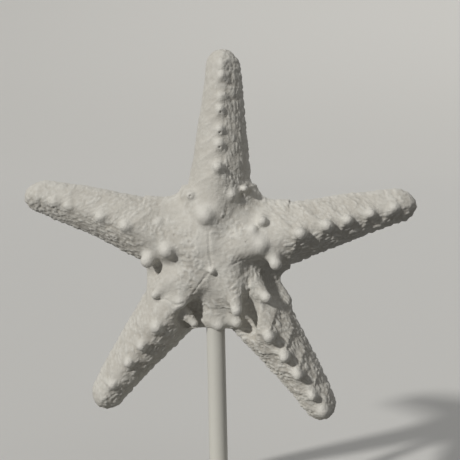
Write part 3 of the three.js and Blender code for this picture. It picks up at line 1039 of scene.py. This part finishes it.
soft_lumps = sum(lumps(points / size, seed) * rise for size, rise, seed in SOFT_LUMPS)
skin_top = (
    SLATE_HEIGHT * flank_slates * on_arm_share * (1 - 0.7 * tip_beads)
    + GRAIN_HEIGHT * grains * rough_patches
    + WRINKLE_HEIGHT * (wrinkles - 0.5) * rough_patches * (1 - 0.5 * on_arm_share)
    - PORE_DEPTH * pores * (1 - on_arm_share)
    + TIP_BEAD_HEIGHT * coarse * tip_beads
    + MARGIN_PLATE_HEIGHT * margin_plates * margin * on_arm_share
)
rough_off, rough_on = np.array([arm["rough"] for arm in ARMS])[owner].T
arm_rough = rough_off + (rough_on - rough_off) * on_long_side
skin_top *= 1 + (arm_rough - 1) * on_arm_share
skin_under = UNDER_GRAIN_HEIGHT * coarse + SPINE_HEIGHT * spine_rows * beside_groove
relief = (face_up * skin_top + (1 - face_up) * skin_under) * (1 - KNOB_SMOOTHING * on_knob)
height = relief + soft_lumps * face_up - CREASE_DEPTH * creases - PIT_DEPTH * pits
print(f"relief from {relief.min():.2f} to {relief.max():.2f} mm")

# %% [markdown]
# The painted starfish as a mesh
#
# The points move out by their relief, then into the frame of the stand: the star stands upright,
# its knobbed face towards -Y. The relief is kept as an attribute of each point, because the paint
# gets painted shade in the valleys, a little warmer and darker there. At the end the net is thinned
# where it is flat.


# %% Starfish mesh
def in_stand_frame(places):
    """Star frame in millimetres to the model's frame in metres."""
    return np.stack(
        (places[:, 0], ROD_DEPTH_IN_STAR - places[:, 2], places[:, 1] + CENTRE_HEIGHT), axis=1
    ) * MM


def thinned(piece, most_triangles):
    """Collapses the flattest edges until the piece is under a number of triangles."""
    triangles = sum(len(face.vertices) - 2 for face in piece.data.polygons)
    modifier = piece.modifiers.new("thin", "DECIMATE")
    modifier.ratio = min(1, most_triangles / triangles)
    whole = piece.data
    piece.data = bpy.data.meshes.new_from_object(
        piece.evaluated_get(bpy.context.evaluated_depsgraph_get())
    )
    piece.modifiers.clear()
    bpy.data.meshes.remove(whole)
    piece.data.name = piece.name


MOST_TRIANGLES = 196000
mesh = bpy.data.meshes.new("painted_starfish")
mesh.from_pydata(in_stand_frame(points + outwards * height[:, None]), [], quads)
mesh.polygons.foreach_set("use_smooth", np.ones(len(mesh.polygons), bool))
for name, values in (("relief", relief), ("on_knob", on_knob * face_up)):
    mesh.attributes.new(name, "FLOAT", "POINT").data.foreach_set("value", values.astype(np.float32))
starfish = bpy.data.objects.new("painted_starfish", mesh)
bpy.context.scene.collection.objects.link(starfish)
thinned(starfish, MOST_TRIANGLES)
print("starfish faces:", len(starfish.data.polygons))

# %% [markdown]
# White paint on the skin
#
# One coat of matt white lies over the whole animal. It is not one colour: it is paler on the
# knob tops, and painted shade makes the valleys warmer and greyer. A noise at two scales keeps any
# patch from repeating, and a last grain too fine for the mesh goes into the normal.

# %% Skin paint
SKIN_PALE = (0.66, 0.645, 0.60, 1)
SKIN_BODY = (0.60, 0.585, 0.54, 1)
# The warm grey of the painted shade in the valleys.
SKIN_PAINTED_SHADE = (0.46, 0.435, 0.385, 1)

skin_paint, wire, shader = new_material("skin_paint")
place = wire.node("TexCoord", None, None, output=3)
raised = wire.node("Attribute", {"attribute_name": "relief"}, None, output=2)
knob = wire.node("Attribute", {"attribute_name": "on_knob"}, None, output=2)
cloud = wire.node("TexNoise", None, {"Vector": place, "Scale": 55.0, "Detail": 4.0})
speck = wire.node("TexNoise", None, {"Vector": place, "Scale": 900.0, "Detail": 2.0})
pebbles = wire.node("TexVoronoi", {"feature": "SMOOTH_F1"}, {"Vector": place, "Scale": 1050.0})
# Painted shade: the paint is darker and warmer where the relief is low. Its edge is broken up by the
# cloudy noise.
painted_valley_shade = (0.35 - raised * 1.7 + (cloud - 0.5) * 0.8).clamped()
tone = painted_valley_shade.mixed(SKIN_BODY, SKIN_PAINTED_SHADE)
tone = (knob * 0.7).clamped().mixed(tone, SKIN_PALE)
connect(tone, shader, "Base Color")
connect(0.86 - knob * 0.2 + (cloud - 0.5) * 0.12, shader, "Roughness")
fine = speck * 0.5 + cloud * 0.2 - pebbles * 0.7
bump = wire.node("Bump", None, {"Height": fine, "Distance": 0.0004, "Strength": 0.5})
connect(bump, shader, "Normal")
starfish.data.materials.append(skin_paint)

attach(starfish, "root")
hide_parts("starfish")
print("painted", starfish.name)

# %% [markdown]
# The rod and its foot
#
# Both are turned steel with a satin white paint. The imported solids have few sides, so the same
# profiles are turned again here with many, and every edge gets the small round that paint leaves.

# %% Rod and foot
ROD_IN_BASE = 12
ROD_GAP = 0.3
BASE_DIAMETER = 90
BASE_HEIGHT = 16
BASE_EDGE_ROUND = 4
BASE_FOOT_ROUND = 1
HOLE_CHAMFER = 0.4
ROD_CHAMFER = 0.8
ROD_STEPS = 24
TURNED_SIDES = 128


def rounded(profile, corner, radius, steps=6):
    """Adds the points of a quarter round that turns from upright to level at a corner."""
    for step in range(steps + 1):
        turn = step / steps * math.pi / 2
        outwards = corner[0] - radius + radius * math.cos(turn)
        upwards = corner[1] - radius + radius * math.sin(turn)
        profile.append((outwards, upwards))


(_, _, rod_foot), (_, _, rod_top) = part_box("stand_rod")
rod_radius = ROD_DIAMETER / 2 * MM
chamfer = ROD_CHAMFER * MM
straight = rod_top - rod_foot - 2 * chamfer
rod_profile = [(0, rod_foot), (rod_radius - chamfer, rod_foot), (rod_radius, rod_foot + chamfer)]
for step in range(1, ROD_STEPS):
    rod_profile.append((rod_radius, rod_foot + chamfer + straight * step / ROD_STEPS))
rounded(rod_profile, (rod_radius, rod_top), chamfer)
rod_profile.append((0, rod_top))
rod = turned("turned_rod", rod_profile, TURNED_SIDES)

base_radius = BASE_DIAMETER / 2 * MM
hole_radius = rod_radius + ROD_GAP * MM
foot_round = BASE_FOOT_ROUND * MM
base_profile = [
    (0, 0),
    (base_radius - foot_round, 0),
    (base_radius - 0.3 * foot_round, 0.3 * foot_round),
    (base_radius, foot_round),
]
rounded(base_profile, (base_radius, BASE_HEIGHT * MM), BASE_EDGE_ROUND * MM, 12)
base_profile += [
    (hole_radius + HOLE_CHAMFER * MM, BASE_HEIGHT * MM),
    (hole_radius, (BASE_HEIGHT - HOLE_CHAMFER) * MM),
    (hole_radius, (BASE_HEIGHT - ROD_IN_BASE) * MM),
    (0, (BASE_HEIGHT - ROD_IN_BASE) * MM),
]
base = turned("turned_base", base_profile, TURNED_SIDES)
print("rod top at", round(rod_top, 4), "m")

# %% [markdown]
# Satin paint
#
# Sprayed paint on smooth metal has a faint orange-peel texture, seen only where light grazes it,
# and small differences in sheen where it has been handled.


# %% Metal paint
def satin_paint(name, colour, worn):
    material, wire, shader = new_material(name)
    place = wire.node("TexCoord", None, None, output=3)
    cloud = wire.node("TexNoise", None, {"Vector": place, "Scale": 38.0, "Detail": 4.0})
    peel = wire.node("TexNoise", None, {"Vector": place, "Scale": 700.0, "Detail": 1.0})
    connect(cloud.mixed(worn, colour), shader, "Base Color")
    connect(0.36 + cloud * 0.16, shader, "Roughness")
    bump = wire.node("Bump", None, {"Height": peel, "Distance": 0.00006, "Strength": 0.3})
    connect(bump, shader, "Normal")
    return material


ROD_COLOUR = (0.62, 0.61, 0.56, 1)
ROD_WORN = (0.56, 0.55, 0.50, 1)
rod.data.materials.append(satin_paint("rod_satin", ROD_COLOUR, ROD_WORN))
base.data.materials.append(satin_paint("base_satin", ROD_COLOUR, ROD_WORN))
for piece, node, slot in ((rod, "stand_rod", "rod_paint"), (base, "stand_base", "base_paint")):
    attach(piece, "root")
    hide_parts(node)
print("painted", rod.name, "and", base.name)

# %% [markdown]
#
# The dressed model must fill the imported model's box and no more. Both boxes are printed in
# millimetres.

# %% Sizes
dressed_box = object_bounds()
boxes = {
    "cad": [list(corner) for corner in packed_box],
    "visual": [list(corner) for corner in dressed_box],
}
for name, (low, high) in boxes.items():
    print(name, [round(value * 1000, 1) for value in low + high])
